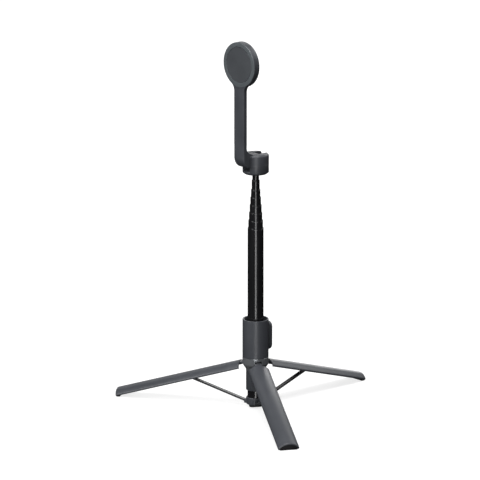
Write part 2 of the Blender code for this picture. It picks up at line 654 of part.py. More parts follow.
def make_arm():
    place = Matrix.Translation((0, 0, tilt_height))
    axis = empty("arm_axis", place)
    back = -strap_back
    front = back + strap_thickness
    rise = disc_height - tilt_height
    disc_front = back + disc_thickness

    # Hook in the y-z plane, from the knuckle round to the upright strap
    hook = arc((0, 0), knuckle_radius, knuckle_start, math.pi / 2, 24)
    hook += [(-neck_start, knuckle_radius + neck_rise)]
    inner_corner = (front + inner_corner_radius, strap_inner_corner + tool_overshoot)
    hook += arc(inner_corner, inner_corner_radius, inner_corner_start, math.pi, 8)
    hook_top = strap_start + inner_corner_radius
    hook += [(front, hook_top), (back, hook_top)]
    bend = (back + strap_bend_radius, strap_bend_radius - strap_bend_bottom)
    hook += arc(bend, strap_bend_radius, math.pi, 1.5 * math.pi, 12)
    arm = prism("arm", hook, -strap_width / 2, strap_width / 2, "slate_plastic", "yz", Matrix(), axis)

    # Clearance beside the knuckle
    half_knuckle = head_slot_half_width - 2 * gap - washer_thickness
    outside = strap_width / 2 + tool_overshoot
    for side in (-1, 1):
        shoulder = [(side * outside, -strap_shoulder - tool_overshoot),
                    (side * (strap_width / 2 - tool_overshoot), -strap_shoulder),
                    (side * half_knuckle, shoulder_chamfer - strap_shoulder),
                    (side * half_knuckle, tool_reach), (side * outside, tool_reach)]
        tool = prism(f"shoulder_tool_{side + 1}", shoulder, -tool_reach, strap_start, "slate_plastic", "xy",
                     Matrix(), axis)
        use_tool(arm, tool, "DIFFERENCE")

    hole = rod_outline(tilt_pin_radius + gap, -strap_width, strap_width)
    tool = turned("knuckle_hole_tool", hole, 32, "slate_plastic", turn("Y", 90), axis)
    use_tool(arm, tool, "DIFFERENCE")

    # Upright strap with a fillet on each side where it meets the disc
    half = strap_width / 2
    spread = half + strap_flare
    lift = math.sqrt((disc_radius + strap_flare) ** 2 - spread ** 2)
    touch = math.atan2(lift, spread)
    fillet = arc((spread, rise - lift), strap_flare, math.pi, math.pi - touch, 10)
    strap = [(-half, strap_start), (half, strap_start)]
    strap += fillet
    strap += [(0, rise - disc_radius / 2)]
    strap += [(-x, z) for x, z in fillet[::-1]]
    tool = prism("strap_tool", strap, back, front, "slate_plastic", "xz", Matrix(), axis)
    use_tool(arm, tool, "UNION")

    # Disc housing, turned about y through its centre
    center = Matrix.Translation((0, 0, rise)) @ turn("X", -90)
    housing = [(0, back), (disc_radius - disc_edge, back)]
    housing += arc((disc_radius - disc_edge, back + disc_edge), disc_edge, -math.pi / 2, 0, 4)[1:]
    housing += arc((disc_radius - disc_edge, disc_front - disc_edge), disc_edge, 0, math.pi / 2, 4)
    housing += [(0, disc_front)]
    tool = turned("housing_tool", housing, 96, "slate_plastic", center, axis)
    use_tool(arm, tool, "UNION")

    # Recess for the rear cover and the stepped pocket for the magnet
    cover_seat = back + rear_cover_thickness + gap
    seat = rod_outline(rear_cover_radius + gap, back - tool_overshoot, cover_seat)
    tool = turned("cover_seat_tool", seat, 96, "slate_plastic", center, axis)
    use_tool(arm, tool, "DIFFERENCE")
    pocket_floor = cover_seat + rear_wall
    pad_back = disc_front - front_pad_thickness
    pocket_radius = magnet_outer_radius + gap
    pocket_end = disc_front + tool_overshoot
    pocket = [(0, pocket_floor), (pocket_radius, pocket_floor), (pocket_radius, pad_back - gap),
              (front_pad_radius + gap, pad_back - gap), (front_pad_radius + gap, pocket_end), (0, pocket_end)]
    tool = turned("pocket_tool", pocket, 96, "slate_plastic", center, axis)
    use_tool(arm, tool, "DIFFERENCE")

    cover = rod_outline(rear_cover_radius, back, back + rear_cover_thickness)
    turned("rear_cover", cover, 96, "soft_grey", center, axis)
    shield_back = pocket_floor + gap
    shield = rod_outline(magnet_outer_radius, shield_back, shield_back + shield_thickness)
    turned("shield_plate", shield, 64, "bright_steel", center, axis)
    magnet_back = shield_back + shield_thickness + gap
    magnet_front = min(magnet_back + magnet_thickness, pad_back - gap)
    magnet = ring_outline(magnet_inner_radius, magnet_outer_radius, magnet_back, magnet_front)
    turned("magnet_ring", magnet, 64, "magnet_metal", center, axis)
    pad = rod_outline(front_pad_radius, pad_back, disc_front)
    turned("front_pad", pad, 96, "black_rubber", center, axis)


# Remote

def remote_outline(front, half_width, back_radius):
    """Plan of the remote: a back that follows the grip, and a rounded front."""
    spread = math.asin(half_width / back_radius)
    points = arc((0, 0), back_radius, math.pi / 2 + spread, math.pi / 2 - spread, 10)
    radius = remote_edge_radius
    points += arc((half_width - radius, front - radius), radius, 0, math.pi / 2, 5)
    points += arc((radius - half_width, front - radius), radius, math.pi / 2, math.pi, 5)
    return points


def make_remote():
    top = remote_bottom + remote_height
    cradle_inner = grip_radius + gap
    cradle_outer = cradle_inner + cradle_thickness
    quarter = math.pi / 2
    cradle = arc((0, 0), cradle_outer, quarter - cradle_half_angle, quarter + cradle_half_angle, 14)
    cradle += arc((0, 0), cradle_inner, quarter + cradle_half_angle, quarter - cradle_half_angle, 14)
    prism("remote_cradle", cradle, remote_bottom + cradle_margin, top - cradle_margin, "black_rubber")

    back_radius = cradle_outer + gap
    parting = back_radius + remote_back_wall
    body = remote_outline(remote_front, remote_half_width, back_radius)
    end_middle = remote_front - remote_end_radius
    ends = [(0, remote_bottom), (0, top)]
    ends += arc((end_middle, top - remote_end_radius), remote_end_radius, math.pi / 2, 0, 6)
    ends += arc((end_middle, remote_bottom + remote_end_radius), remote_end_radius, 0, -math.pi / 2, 6)
    rounding = prism("remote_end_tool", ends, -tool_reach, tool_reach, "slate_plastic", "yz")
    face = rounded_outline(-remote_half_width, remote_half_width, remote_bottom, top, remote_corner_radius)
    corners = prism("remote_corner_tool", face, 0, tool_reach, "slate_plastic", "xz")
    front_half = box_outline(-tool_reach, tool_reach, parting - gap / 2, tool_reach)
    front_half_tool = prism("remote_front_half_tool", front_half, 0, 2 * top, "slate_plastic")
    back_half = box_outline(-tool_reach, tool_reach, 0, parting + gap / 2)
    back_half_tool = prism("remote_back_half_tool", back_half, 0, 2 * top, "slate_plastic")
    rear = prism("remote_back", body, remote_bottom, top, "slate_plastic")
    front = prism("remote_front", body, remote_bottom, top, "slate_plastic")
    for half, other_half in ((rear, front_half_tool), (front, back_half_tool)):
        use_tool(half, rounding, "INTERSECT")
        use_tool(half, corners, "INTERSECT")
        use_tool(half, other_half, "DIFFERENCE")

    # Pocket in the front shell for the board and the cell
    inside = remote_half_width - remote_side_wall
    pocket_front = remote_front - remote_wall
    low = remote_bottom + remote_side_wall
    high = top - remote_side_wall
    pocket = rounded_outline(-inside, inside, low, high, remote_corner_radius - remote_side_wall)
    tool = prism("remote_pocket_tool", pocket, 0, pocket_front, "slate_plastic", "xz")
    use_tool(front, tool, "DIFFERENCE")
    button_height = remote_bottom + button_height_on_remote
    button_place = Matrix.Translation((0, 0, button_height)) @ turn("X", -90)
    hole = rod_outline(button_radius + gap, pocket_front - tool_overshoot, remote_front + tool_overshoot)
    tool = turned("button_hole_tool", hole, 40, "slate_plastic", button_place)
    use_tool(front, tool, "DIFFERENCE")

    board_back = parting + gap
    cell_middle = low + cell_radius + gap
    board = rounded_outline(gap - inside, inside - gap, cell_middle + cell_radius + gap, high - gap,
                            board_corner_radius)
    prism("remote_board", board, board_back, board_back + board_thickness, "board_green", "xz")
    cell_place = Matrix.Translation((0, 0, cell_middle)) @ turn("X", -90)
    cell = rod_outline(cell_radius, board_back, board_back + cell_thickness)
    turned("coin_cell", cell, 40, "bright_steel", cell_place)
    button_back = board_back + board_thickness + button_travel_room
    button_face = remote_front + button_proud
    button = [(0, button_back), (button_radius, button_back), (button_radius, button_face - button_edge),
              (button_radius - button_edge, button_face), (0, button_face)]
    turned("shutter_button", button, 40, "soft_grey", button_place)


clear_scene()
make_finishes()
make_column()
make_foot_pad()
make_spider()
make_grip()
make_hub()
make_sleeve()
for leg_index in range(leg_count):
    make_strut(leg_index, make_leg(leg_index))
make_head()
make_arm()
make_remote()
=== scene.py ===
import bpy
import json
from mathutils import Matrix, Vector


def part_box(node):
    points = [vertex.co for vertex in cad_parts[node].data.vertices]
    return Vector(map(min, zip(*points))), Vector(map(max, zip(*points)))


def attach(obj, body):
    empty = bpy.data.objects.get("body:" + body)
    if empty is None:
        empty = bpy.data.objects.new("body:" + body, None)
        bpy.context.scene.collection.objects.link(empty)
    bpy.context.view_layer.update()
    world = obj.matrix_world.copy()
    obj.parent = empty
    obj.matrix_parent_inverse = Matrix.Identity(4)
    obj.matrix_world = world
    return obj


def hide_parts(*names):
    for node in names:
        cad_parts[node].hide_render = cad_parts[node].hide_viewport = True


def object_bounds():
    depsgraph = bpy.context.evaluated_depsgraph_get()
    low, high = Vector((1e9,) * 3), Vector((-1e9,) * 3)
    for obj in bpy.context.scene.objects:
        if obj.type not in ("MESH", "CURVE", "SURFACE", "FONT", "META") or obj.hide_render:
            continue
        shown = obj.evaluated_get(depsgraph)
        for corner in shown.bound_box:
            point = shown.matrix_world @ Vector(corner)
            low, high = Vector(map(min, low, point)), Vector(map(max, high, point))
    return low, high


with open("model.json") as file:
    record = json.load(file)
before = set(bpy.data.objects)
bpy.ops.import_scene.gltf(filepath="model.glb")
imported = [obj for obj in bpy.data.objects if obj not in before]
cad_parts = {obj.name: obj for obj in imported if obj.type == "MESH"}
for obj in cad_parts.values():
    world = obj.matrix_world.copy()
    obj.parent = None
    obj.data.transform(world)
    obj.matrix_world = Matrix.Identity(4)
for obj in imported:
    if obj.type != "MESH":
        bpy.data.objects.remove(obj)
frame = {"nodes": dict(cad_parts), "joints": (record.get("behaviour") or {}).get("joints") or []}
cadBox = [list(corner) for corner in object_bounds()]

import json
import math

import bpy
from mathutils import Matrix, Vector

mm = 0.001
nodes = frame["nodes"]
joints = {joint["name"]: joint for joint in frame["joints"]}
bpy.context.scene.view_settings.view_transform = "Standard"
print("frame loaded:", len(nodes), "nodes")


# Small helpers for edit mode

def only(piece):
    if bpy.context.mode != "OBJECT":
        bpy.ops.object.mode_set(mode="OBJECT")
    bpy.ops.object.select_all(action="DESELECT")
    piece.select_set(True)
    bpy.context.view_layer.objects.active = piece


def editAll(piece):
    only(piece)
    bpy.ops.object.mode_set(mode="EDIT")
    bpy.ops.mesh.select_all(action="SELECT")


def objectMode():
    bpy.ops.object.mode_set(mode="OBJECT")


# wanted takes a face's middle and normal
def pickFaces(piece, wanted):
    only(piece)
    bpy.ops.object.mode_set(mode="EDIT")
    bpy.ops.mesh.select_mode(type="FACE")
    bpy.ops.mesh.select_all(action="DESELECT")
    objectMode()
    for face in piece.data.polygons:
        face.select = wanted(face.center, face.normal)
    bpy.ops.object.mode_set(mode="EDIT")


def pickEdges(piece, wanted):
    only(piece)
    bpy.ops.object.mode_set(mode="EDIT")
    bpy.ops.mesh.select_mode(type="EDGE")
    bpy.ops.mesh.select_all(action="DESELECT")
    objectMode()
    points = piece.data.vertices
    for edge in piece.data.edges:
        a, b = (points[i].co for i in edge.vertices)
        edge.select = wanted(a, b)
    bpy.ops.object.mode_set(mode="EDIT")


def applyAll(piece):
    only(piece)
    for modifier in list(piece.modifiers):
        bpy.ops.object.modifier_apply(modifier=modifier.name)


def cleanUp(piece):
    editAll(piece)
    bpy.ops.mesh.remove_doubles(threshold=0.002 * mm)
    bpy.ops.mesh.normals_make_consistent(inside=False)
    objectMode()


def bevelled(piece, width, segments=3, angle=35):
    only(piece)
    bevel = piece.modifiers.new("softEdges", "BEVEL")
    bevel.width = width
    bevel.segments = segments
    bevel.limit_method = "ANGLE"
    bevel.angle_limit = math.radians(angle)
    bevel.use_clamp_overlap = True
    applyAll(piece)


def smooth(piece, angle=32):
    only(piece)
    bpy.ops.object.shade_smooth_by_angle(angle=math.radians(angle))


# puts the piece in its place and leaves its origin at the world's
def settle(piece, place=Matrix()):
    only(piece)
    piece.matrix_world = place @ piece.matrix_world
    bpy.ops.object.transform_apply(location=True, rotation=True, scale=True)


def copyOf(piece, name, place=Matrix()):
    only(piece)
    bpy.ops.object.duplicate(linked=False)
    copy = bpy.context.active_object
    copy.name = name
    settle(copy, place)
    return copy


def boolean(piece, tool, operation="DIFFERENCE"):
    only(piece)
    cut = piece.modifiers.new("cut", "BOOLEAN")
    cut.operation = operation
    cut.object = tool
    cut.solver = "EXACT"
    applyAll(piece)
    bpy.data.objects.remove(tool, do_unlink=True)


# rings drawn out from a circle, one for each radius and height of the profile
def turned(name, profile, sides=96):
    if bpy.context.mode != "OBJECT":
        objectMode()
    bpy.ops.object.select_all(action="DESELECT")
    radius, height = profile[0]
    bpy.ops.mesh.primitive_circle_add(vertices=sides, radius=radius, location=(0, 0, height))
    piece = bpy.context.active_object
    piece.name = name
    bpy.ops.object.transform_apply(location=True)
    bpy.ops.object.mode_set(mode="EDIT")
    bpy.ops.mesh.select_mode(type="EDGE")
    bpy.ops.mesh.select_all(action="SELECT")
    for nextRadius, nextHeight in profile[1:]:
        grow = nextRadius / radius
        bpy.ops.mesh.extrude_edges_move(TRANSFORM_OT_translate={"value": (0, 0, nextHeight - height)})
        bpy.ops.transform.resize(value=(grow, grow, 1), center_override=(0, 0, nextHeight))
        radius, height = nextRadius, nextHeight
    objectMode()
    return piece


# a turned shell whose last ring is bridged to its first
def closedRing(name, profile, sides=96):
    piece = turned(name, profile, sides)
    editAll(piece)
    bpy.ops.mesh.select_all(action="DESELECT")
    bpy.ops.mesh.select_non_manifold()
    bpy.ops.mesh.bridge_edge_loops()
    objectMode()
    cleanUp(piece)
    return piece


# a turned solid, with a flat face over each open end
def solidTurned(name, profile, sides=96):
    piece = turned(name, profile, sides)
    for height in (profile[0][1], profile[-1][1]):
        pickEdges(piece, lambda a, b: abs(a.z - height) < 1e-7 and abs(b.z - height) < 1e-7)
        bpy.ops.mesh.edge_face_add()
        objectMode()
    cleanUp(piece)
    return piece


# an outline in x and y, filled and drawn out from one height to another
def outlined(name, points, low, high):
    if bpy.context.mode != "OBJECT":
        objectMode()
    bpy.ops.object.select_all(action="DESELECT")
    bpy.ops.mesh.primitive_circle_add(vertices=len(points), radius=1, fill_type="NGON", location=(0, 0, 0))
    piece = bpy.context.active_object
    piece.name = name
    for vertex, (x, y) in zip(piece.data.vertices, points):
        vertex.co = (x, y, low)
    bpy.ops.object.mode_set(mode="EDIT")
    bpy.ops.mesh.select_all(action="SELECT")
    bpy.ops.mesh.extrude_region_move(TRANSFORM_OT_translate={"value": (0, 0, high - low)})
    objectMode()
    cleanUp(piece)
    return piece


def boxPiece(name, low, high):
    bpy.ops.object.select_all(action="DESELECT")
    middle = [(a + b) / 2 for a, b in zip(low, high)]
    bpy.ops.mesh.primitive_cube_add(size=1, location=middle)
    piece = bpy.context.active_object
    piece.name = name
    piece.scale = [b - a for a, b in zip(low, high)]
    bpy.ops.object.transform_apply(location=True, rotation=True, scale=True)
    return piece


def arcPoints(middle, radius, start, end, steps):
    turns = [math.radians(start + (end - start) * i / steps) for i in range(steps + 1)]
    return [(middle[0] + radius * math.cos(a), middle[1] + radius * math.sin(a)) for a in turns]


def turnedBy(axis, degrees):
    return Matrix.Rotation(math.radians(degrees), 4, axis)


# a drawing in x and y, drawn out along z, stood up so that its y is the piece's z
upright = Matrix(((1, 0, 0, 0), (0, 0, -1, 0), (0, 1, 0, 0), (0, 0, 0, 1)))


# drills a round hole across x, or across y with axis="Y"
def drill(piece, center, radius, depth, axis="X", sides=32):
    turn = (0, math.pi / 2, 0) if axis == "X" else (math.pi / 2, 0, 0)
    bpy.ops.object.select_all(action="DESELECT")
    bpy.ops.mesh.primitive_cylinder_add(vertices=sides, radius=radius, depth=depth,
                                        location=center, rotation=turn)
    boolean(piece, bpy.context.active_object)


# Finishes

finishes = {}


def newFinish(name, color, rough, metal=0.0, specular=0.5):
    material = bpy.data.materials.new(name)
    material.use_nodes = True
    shader = material.node_tree.nodes["Principled BSDF"]
    shader.inputs["Base Color"].default_value = (*color, 1)
    shader.inputs["Roughness"].default_value = rough
    shader.inputs["Metallic"].default_value = metal
    shader.inputs["Specular IOR Level"].default_value = specular
    finishes[name] = material
    return material, material.node_tree, shader


# noise on object coordinates, in lumps of about 1/scale metres
def noiseAt(tree, scale, detail, stretch=(1, 1, 1), roughness=0.55):
    coords = tree.nodes.new("ShaderNodeTexCoord")
    mapping = tree.nodes.new("ShaderNodeMapping")
    mapping.inputs["Scale"].default_value = stretch
    noise = tree.nodes.new("ShaderNodeTexNoise")
    noise.inputs["Scale"].default_value = scale
    noise.inputs["Detail"].default_value = detail
    noise.inputs["Roughness"].default_value = roughness
    tree.links.new(coords.outputs["Object"], mapping.inputs["Vector"])
    tree.links.new(mapping.outputs["Vector"], noise.inputs["Vector"])
    return noise.outputs["Fac"]


def ranged(tree, value, low, high, start=0.3, end=0.7):
    step = tree.nodes.new("ShaderNodeMapRange")
    step.inputs["From Min"].default_value = start
    step.inputs["From Max"].default_value = end
    step.inputs["To Min"].default_value = low
    step.inputs["To Max"].default_value = high
    tree.links.new(value, step.inputs["Value"])
    return step.outputs["Result"]


def tinted(tree, value, dark, light):
    ramp = tree.nodes.new("ShaderNodeValToRGB")
    ramp.color_ramp.elements[0].position = 0.3
    ramp.color_ramp.elements[0].color = (*dark, 1)
    ramp.color_ramp.elements[1].position = 0.7
    ramp.color_ramp.elements[1].color = (*light, 1)
    tree.links.new(value, ramp.inputs["Fac"])
    return ramp.outputs["Color"]


def bumped(tree, shader, value, height, strength):
    bump = tree.nodes.new("ShaderNodeBump")
    bump.inputs["Distance"].default_value = height
    bump.inputs["Strength"].default_value = strength
    tree.links.new(value, bump.inputs["Height"])
    tree.links.new(bump.outputs["Normal"], shader.inputs["Normal"])


# spark-eroded plastic: fine even grain, a faint cloud in tint and gloss
def mouldedPlastic(name, color, rough, grain=2600, depth=0.02 * mm, specular=0.5, spread=0.07, metal=0.0):
    material, tree, shader = newFinish(name, color, rough, metal, specular)
    cloud = noiseAt(tree, 38, 4)
    dark = [channel * (1 - spread) for channel in color]
    light = [channel * (1 + spread) for channel in color]
    tree.links.new(tinted(tree, cloud, dark, light), shader.inputs["Base Color"])
    tree.links.new(ranged(tree, cloud, rough - 0.03, rough + 0.04), shader.inputs["Roughness"])
    bumped(tree, shader, noiseAt(tree, grain, 2), depth, 0.35)
    return material


def makeFinishes():
    mouldedPlastic("slatePlastic", (0.060, 0.064, 0.073), 0.36)
    mouldedPlastic("hubPlastic", (0.205, 0.216, 0.228), 0.17, depth=0.004 * mm, metal=0.4)
    # Rear rim ring: the slate plastic painted lighter, a painted reflection of the light the flat ring catches
    mouldedPlastic("rimSheenPlastic", (0.092, 0.104, 0.112), 0.36)
    mouldedPlastic("coverPlastic", (0.062, 0.067, 0.074), 0.42, grain=3400)

    # Anodised tube, drawn lengthwise
    material, tree, shader = newFinish("blackTube", (0.010, 0.010, 0.011), 0.2, 0.0, 0.95)
    drawn = noiseAt(tree, 900, 3, (1, 1, 0.02))
    black = tinted(tree, drawn, (0.008, 0.008, 0.009), (0.013, 0.013, 0.014))
    tree.links.new(black, shader.inputs["Base Color"])
    tree.links.new(ranged(tree, drawn, 0.19, 0.24), shader.inputs["Roughness"])
    bumped(tree, shader, drawn, 0.004 * mm, 0.3)

    # Rubber of the feet, the cradle and the pads
    material, tree, shader = newFinish("softRubber", (0.014, 0.014, 0.015), 0.62, 0.0, 0.35)
    dusty = noiseAt(tree, 160, 5)
    soot = tinted(tree, dusty, (0.012, 0.012, 0.013), (0.022, 0.022, 0.023))
    tree.links.new(soot, shader.inputs["Base Color"])
    tree.links.new(ranged(tree, dusty, 0.55, 0.72), shader.inputs["Roughness"])
    bumped(tree, shader, noiseAt(tree, 1800, 3), 0.03 * mm, 0.4)

    # Turned steel of the pins and washers
    material, tree, shader = newFinish("pinSteel", (0.45, 0.45, 0.46), 0.28, 1.0)
    lathe = noiseAt(tree, 1500, 3)
    tree.links.new(tinted(tree, lathe, (0.36, 0.36, 0.37), (0.52, 0.52, 0.53)), shader.inputs["Base Color"])
    tree.links.new(ranged(tree, lathe, 0.22, 0.36), shader.inputs["Roughness"])

    # Strut: the legs' slate painted a little lighter, a painted highlight for the bright top faces, and smoother
    # all over
    mouldedPlastic("strutSheenPlastic", (0.070, 0.072, 0.076), 0.22, depth=0.004 * mm, specular=0.9)

    # Button cap
    mouldedPlastic("buttonPlastic", (0.075, 0.077, 0.082), 0.5, grain=3800)

    # Circuit board
    material, tree, shader = newFinish("boardGreen", (0.02, 0.10, 0.05), 0.45)
    weave = noiseAt(tree, 700, 2)
    tree.links.new(tinted(tree, weave, (0.012, 0.07, 0.035), (0.03, 0.12, 0.06)), shader.inputs["Base Color"])

    # Nickel plated magnets
    material, tree, shader = newFinish("magnetNickel", (0.40, 0.40, 0.41), 0.3, 1.0)
    plating = noiseAt(tree, 400, 4)
    tree.links.new(tinted(tree, plating, (0.32, 0.32, 0.33), (0.46, 0.46, 0.47)), shader.inputs["Base Color"])
    print("finishes made:", len(finishes))


def dress(piece, finish, body):
    piece.data.materials.clear()
    piece.data.materials.append(finishes[finish])
    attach(piece, body)


# Telescoping column

tubeShape = {"wall": 0.5 * mm, "lipHeight": 0.9 * mm, "lipRound": 0.18 * mm, "groove": 0.12 * mm,
             "sides": 112}


def makeTubes():
    wall = tubeShape["wall"]
    lip = tubeShape["lipHeight"]
    groove = tubeShape["groove"]
    for name in ["tube_%d" % number for number in range(1, 8)] + ["main_tube"]:
        low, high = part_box(name)
        radius, top = high.x, high.z
        inner = radius - wall
        edge = tubeShape["lipRound"]
        profile = [(inner, low.z), (radius - edge, low.z), (radius, low.z + edge)]
        profile += [(radius, top - lip - 2 * groove), (radius - groove, top - lip - groove),
                    (radius - groove, top - lip), (radius, top - lip + groove)]
        profile += [(radius, top - edge), (radius - 0.3 * edge, top - 0.3 * edge), (radius - edge, top),
                    (inner, top)]
        tube = closedRing(name + "Drawn", profile, tubeShape["sides"])
        smooth(tube, 40)
        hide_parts(name)
        dress(tube, "blackTube", "column" if name == "main_tube" else name)
    print("tubes made")


# Handle: grip, hub and sleeve

gripShape = {"wall": 2.0 * mm, "rim": 0.55 * mm, "foot": 0.25 * mm, "innerChamfer": 0.7 * mm}
hubShape = {"skirt": 7.6 * mm, "edge": 0.25 * mm, "slotHalf": 4.7 * mm, "slotInner": 10.8 * mm,
            "headroom": 4.1 * mm}


def makeGrip():
    low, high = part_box("grip_shell")
    radius = high.x
    inner = radius - gripShape["wall"]
    rim, foot, chamfer = gripShape["rim"], gripShape["foot"], gripShape["innerChamfer"]
    profile = [(inner, low.z), (radius - foot, low.z), (radius, low.z + foot), (radius, high.z - rim)]
    profile += [(radius - rim + x, high.z - rim + z) for x, z in arcPoints((0, 0), rim, 0, 90, 5)[1:]]
    profile += [(inner + chamfer, high.z), (inner + 0.3 * chamfer, high.z - 0.4 * chamfer),
                (inner, high.z - 1.4 * chamfer)]
    grip = closedRing("gripShell", profile, 128)
    smooth(grip, 40)
    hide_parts("grip_shell")
    dress(grip, "slatePlastic", "handle")


def makeHub():
    low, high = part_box("hub")
    sleeveLow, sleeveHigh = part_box("sleeve")
    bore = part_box("main_tube")[1].x + 0.3 * mm
    radius, neck = high.x, sleeveHigh.x
    skirtLow = high.z - hubShape["skirt"]
    edge = hubShape["edge"]
    profile = [(bore, low.z), (neck - edge, low.z), (neck, low.z + edge)]
    steps = 14
    for i in range(1, steps + 1):
        share = i / steps
        swell = share * share * (3 - 2 * share)
        profile.append((neck + (radius - neck) * swell, low.z + (skirtLow - low.z) * share))
    profile += [(radius, high.z - edge), (radius - edge, high.z), (bore, high.z)]
    hub = closedRing("hubBowl", profile, 128)
    pivot = Vector(joints["leg_1_fold"]["pos_m"])
    slotHalf = hubShape["slotHalf"]
    for index in range(3):
        azimuth = 90 + 120 * index
        tool = boxPiece("slotTool", (hubShape["slotInner"], -slotHalf, low.z - 2 * mm),
                        (radius + 3 * mm, slotHalf, pivot.z + hubShape["headroom"]))
        bevelled(tool, 0.5 * mm, 2)
        settle(tool, turnedBy("Z", azimuth))
        boolean(hub, tool)
    bevelled(hub, 0.22 * mm, 2, 50)
    smooth(hub, 35)
    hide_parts("hub")
    dress(hub, "hubPlastic", "handle")


def makeSleeve():
    low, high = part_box("sleeve")
    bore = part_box("main_tube")[1].x + 0.3 * mm
    edge = 0.45 * mm
    profile = [(bore, low.z), (high.x - edge, low.z), (high.x - 0.3 * edge, low.z + 0.3 * edge),
               (high.x, low.z + edge), (high.x, high.z), (bore, high.z)]
    sleeve = closedRing("sleeveTube", profile, 112)
    smooth(sleeve, 40)
    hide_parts("sleeve")
    dress(sleeve, "slatePlastic", "handle")


def middleOf(node):
    low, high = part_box(node)
    return (low + high) / 2


# draws the flat face at endHeight on along z, and closes it in to a quarter round
def roundedEnd(piece, endHeight, outwards, radius, middle, halfSize, steps=5):
    pickFaces(piece, lambda center, normal: abs(center.z - endHeight) < 1e-6 and abs(normal.z) > 0.9)
    depth = inset = 0
    for i in range(1, steps + 1):
        turn = math.pi / 2 * i / steps
        nextDepth, nextInset = radius * math.sin(turn), radius * (1 - math.cos(turn))
        step = outwards * (nextDepth - depth)
        bpy.ops.mesh.extrude_region_move(TRANSFORM_OT_translate={"value": (0, 0, step)})
        shrink = [(half - nextInset) / (half - inset) for half in halfSize]
        height = endHeight + outwards * nextDepth
        bpy.ops.transform.resize(value=(*shrink, 1), center_override=(*middle, height))
        depth, inset = nextDepth, nextInset
    objectMode()


# Column foot: collar for the struts, and the pad under it

spiderShape = {"earNose": 1.1 * mm, "earRound": 1.25 * mm, "earHeight": 5.0 * mm, "earWall": 1.7 * mm,
               "slotHalf": 2.9 * mm, "slotInner": 1.8 * mm, "edge": 0.9 * mm, "soft": 0.25 * mm}


def makeSpider():
    low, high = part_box("spider")
    pin = middleOf("strut_foot_pin_1")
    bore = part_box("main_tube")[1].x + 0.3 * mm
    radius = bore + 1.325 * mm
    edge = spiderShape["edge"]
    profile = [(bore, low.z), (radius - edge, low.z)]
    profile += [(radius - edge + x, low.z + edge + z) for x, z in arcPoints((0, 0), edge, -90, 0, 4)[1:]]
    profile += [(radius - edge + x, high.z - edge + z) for x, z in arcPoints((0, 0), edge, 0, 90, 4)]
    profile += [(bore, high.z)]
    spider = closedRing("strutCollar", profile, 112)
    reach = pin.y + spiderShape["earNose"]
    turn = spiderShape["earRound"]
    lift = spiderShape["earHeight"] / 2
    earHalf = spiderShape["slotHalf"] + spiderShape["earWall"]
    outline = [(bore + 0.3 * mm, pin.z - lift)]
    outline += arcPoints((reach - turn, pin.z - lift + turn), turn, -90, 0, 6)
    outline += arcPoints((reach - turn, pin.z + lift - turn), turn, 0, 90, 6)
    outline += [(bore + 0.3 * mm, pin.z + lift)]
    for index in range(3):
        ear = outlined("earTool", outline, -earHalf, earHalf)
        settle(ear, turnedBy("Z", 90 + 120 * index) @ upright)
        boolean(spider, ear, "UNION")
    for index in range(3):
        slotHalf = spiderShape["slotHalf"]
        tool = boxPiece("slotTool", (pin.y - spiderShape["slotInner"], -slotHalf, low.z - mm),
                        (reach + mm, slotHalf, high.z + mm))
        settle(tool, turnedBy("Z", 90 + 120 * index))
        boolean(spider, tool)
    bevelled(spider, spiderShape["soft"], 2, 50)
    smooth(spider, 35)
    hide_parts("spider")
    dress(spider, "slatePlastic", "column")


def makeFootPad():
    low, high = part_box("foot_pad")
    corner, radius = 4.0 * mm, 9.6 * mm
    reach = radius - corner
    outline = []
    for index in range(3):
        middle = 150 + 120 * index
        center = (reach * math.cos(math.radians(middle)), reach * math.sin(math.radians(middle)))
        outline += arcPoints(center, corner, middle - 60, middle + 60, 14)
    pad = outlined("footPad", outline, low.z + 0.6 * mm, high.z)
    pickFaces(pad, lambda center, normal: normal.z < -0.9)
    bpy.ops.mesh.extrude_region_move(TRANSFORM_OT_translate={"value": (0, 0, -0.6 * mm)})
    bpy.ops.transform.resize(value=(0.93, 0.93, 1), center_override=(0, 0, low.z))
    bpy.ops.mesh.inset(thickness=1.6 * mm)
    bpy.ops.mesh.extrude_region_move(TRANSFORM_OT_translate={"value": (0, 0, 0.5 * mm)})
    objectMode()
    bevelled(pad, 0.18 * mm, 2, 30)
    smooth(pad, 30)
    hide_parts("foot_pad")
    dress(pad, "softRubber", "column")


# Legs, modelled hanging down from the pivot with x outwards, then swung open

legShape = {"openAngle": 72.75, "length": 177.7 * mm, "root": 6.3 * mm, "halfWidth": 13.1 * mm,
            "lowerEdge": 8.0 * mm, "wall": 1.6 * mm, "sideRound": 2.0 * mm, "soft": 0.3 * mm,
            "endRound": 1.5 * mm, "tongueHalf": 4.4 * mm, "eye": 2.4 * mm, "eyeBore": 1.4 * mm,
            "tongueOverlap": 4.0 * mm, "waist": 0.9 * mm, "lugHalf": 2.4 * mm, "lugInner": 2.9 * mm,
            "lugWall": 1.7 * mm, "lugDrop": 1.7 * mm, "lugBore": 1.1 * mm}
padShape = {"gap": 0.12 * mm, "sunk": 0.25 * mm, "length": 5.0 * mm, "drop": 3.2 * mm,
            "treadHalf": 10.2 * mm, "treadRound": 1.6 * mm, "heel": 2.4 * mm, "soft": 0.3 * mm}


# a leg's own place: the pivot, swung open
def legPlace(index):
    pivot = Vector(joints["leg_1_fold"]["pos_m"])
    place = Matrix.Translation((pivot.y, 0, pivot.z))
    return turnedBy("Z", 90 + 120 * index) @ place @ turnedBy("Y", -legShape["openAngle"])


